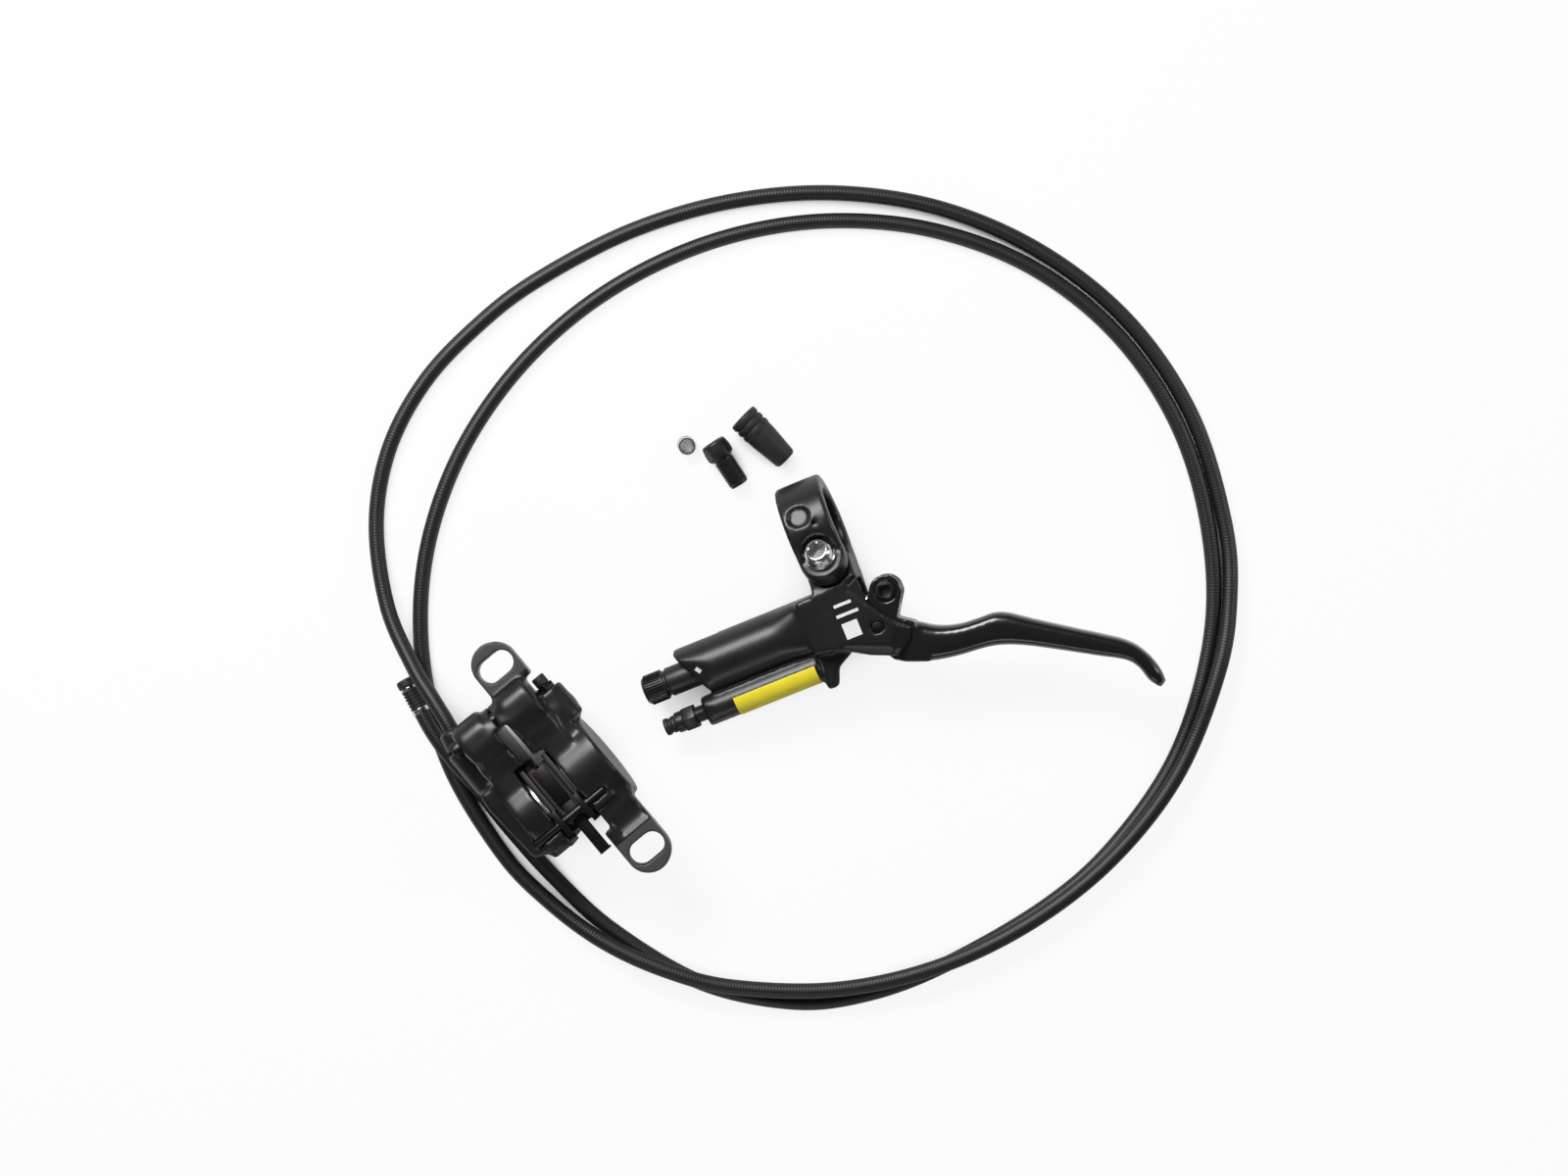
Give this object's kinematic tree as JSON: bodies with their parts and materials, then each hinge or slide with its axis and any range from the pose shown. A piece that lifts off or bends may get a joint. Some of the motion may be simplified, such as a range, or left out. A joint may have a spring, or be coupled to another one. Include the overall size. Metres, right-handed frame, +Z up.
{
  "type": "hydraulic disc brake",
  "caption": "Bicycle hydraulic disc brake: bar-clamp lever with master cylinder, post-mount piston caliper, hose laid in two loops and loose hose fittings.",
  "frame": {"origin": "bottom centre of the bounding box of everything but the hose, on the table", "axes": "+Z up from the table, +X to the right and +Y away in the picture seen from above; the longest extent runs along X"},
  "size_m": [0.2806, 0.2662, 0.0375],
  "materials": {
    "satin_black": "satin black paint on cast aluminium",
    "gloss_black": "gloss black",
    "black_rubber": "matte",
    "hose_jacket": "matte, fine woven texture",
    "steel": "bright zinc",
    "machined_aluminium": "machined",
    "friction_lining": "coarse matte",
    "yellow_label": "printed film",
    "white_print": "printed ink"
  },
  "bodies": {
    "brake": {"lever_body": "satin_black", "clamp_bolt": "steel", "pivot_pin": "steel", "pivot_clip": "steel", "return_spring": "steel", "piston_ring": "steel", "reservoir_diaphragm": "black_rubber", "reservoir_cover": "satin_black", "reservoir_screws": "steel", "lever_bleed_screw": "steel", "port_plug": "black_rubber", "sensor_body": "black_rubber", "sensor_lock_nut": "satin_black", "sensor_cap": "black_rubber", "tube_sticker": "yellow_label", "body_marks": "white_print", "caliper_mount_half": "satin_black", "caliper_outer_half": "satin_black", "caliper_body_bolts": "steel", "piston_seals": "black_rubber", "transfer_seal": "black_rubber", "pad_spring": "steel", "pad_pin": "steel", "caliper_bleed_screw": "steel", "bleed_cap": "black_rubber", "hose_gland_nut": "black_rubber", "brake_hose": "hose_jacket", "hose_sleeve": "black_rubber", "hose_bands": "steel", "hose_end_cap": "black_rubber", "loose_olive": "steel", "loose_compression_nut": "satin_black", "loose_boot": "black_rubber"},
    "lever": {"lever_blade": "gloss_black", "sensor_magnet": "steel"},
    "pushrod": {"barrel_pin": "machined_aluminium", "pushrod": "steel"},
    "master_piston": {"master_piston": "machined_aluminium", "primary_cup": "black_rubber", "secondary_seal": "black_rubber"},
    "left_pad": {"piston_left": "machined_aluminium", "pad_plate_left": "steel", "pad_lining_left": "friction_lining"},
    "right_pad": {"piston_right": "machined_aluminium", "pad_plate_right": "steel", "pad_lining_right": "friction_lining"}
  },
  "joints": [
    {"name": "lever_pull", "type": "hinge", "parent": "brake", "child": "lever", "pos_m": [0.02478, 0.00369, 0.01981], "axis": [-0.129, -0.0521, 0.9903], "range_deg": [0, 25], "stiffness_Nm_per_rad": 0.5, "springref_deg": -17.19},
    {"name": "pushrod_swing", "type": "hinge", "parent": "lever", "child": "pushrod", "pos_m": [0.02694, 0.0146, 0.02067], "axis": [-0.129, -0.0521, 0.9903], "range_deg": [-19.6, 0]},
    {"name": "master_stroke", "type": "slide", "parent": "brake", "child": "master_piston", "axis": [-0.9182, -0.371, -0.1392], "range_m": [0, 0.0044], "deforming": ["return_spring"]},
    {"name": "left_pad_feed", "type": "slide", "parent": "brake", "child": "left_pad", "axis": [0.7683, 0.6401, 0], "range_m": [0, 0.001], "stiffness_N_per_m": 2000},
    {"name": "right_pad_feed", "type": "slide", "parent": "brake", "child": "right_pad", "axis": [-0.7683, -0.6401, 0], "range_m": [0, 0.001], "stiffness_N_per_m": 2000}
  ],
  "couplings": [
    {"joint": "pushrod_swing", "follows": "lever_pull", "ratio": -0.777},
    {"joint": "master_stroke", "follows": "lever_pull", "m_per_rad": 0.00986},
    {"joint": "right_pad_feed", "follows": "left_pad_feed", "ratio": 1}
  ]
}
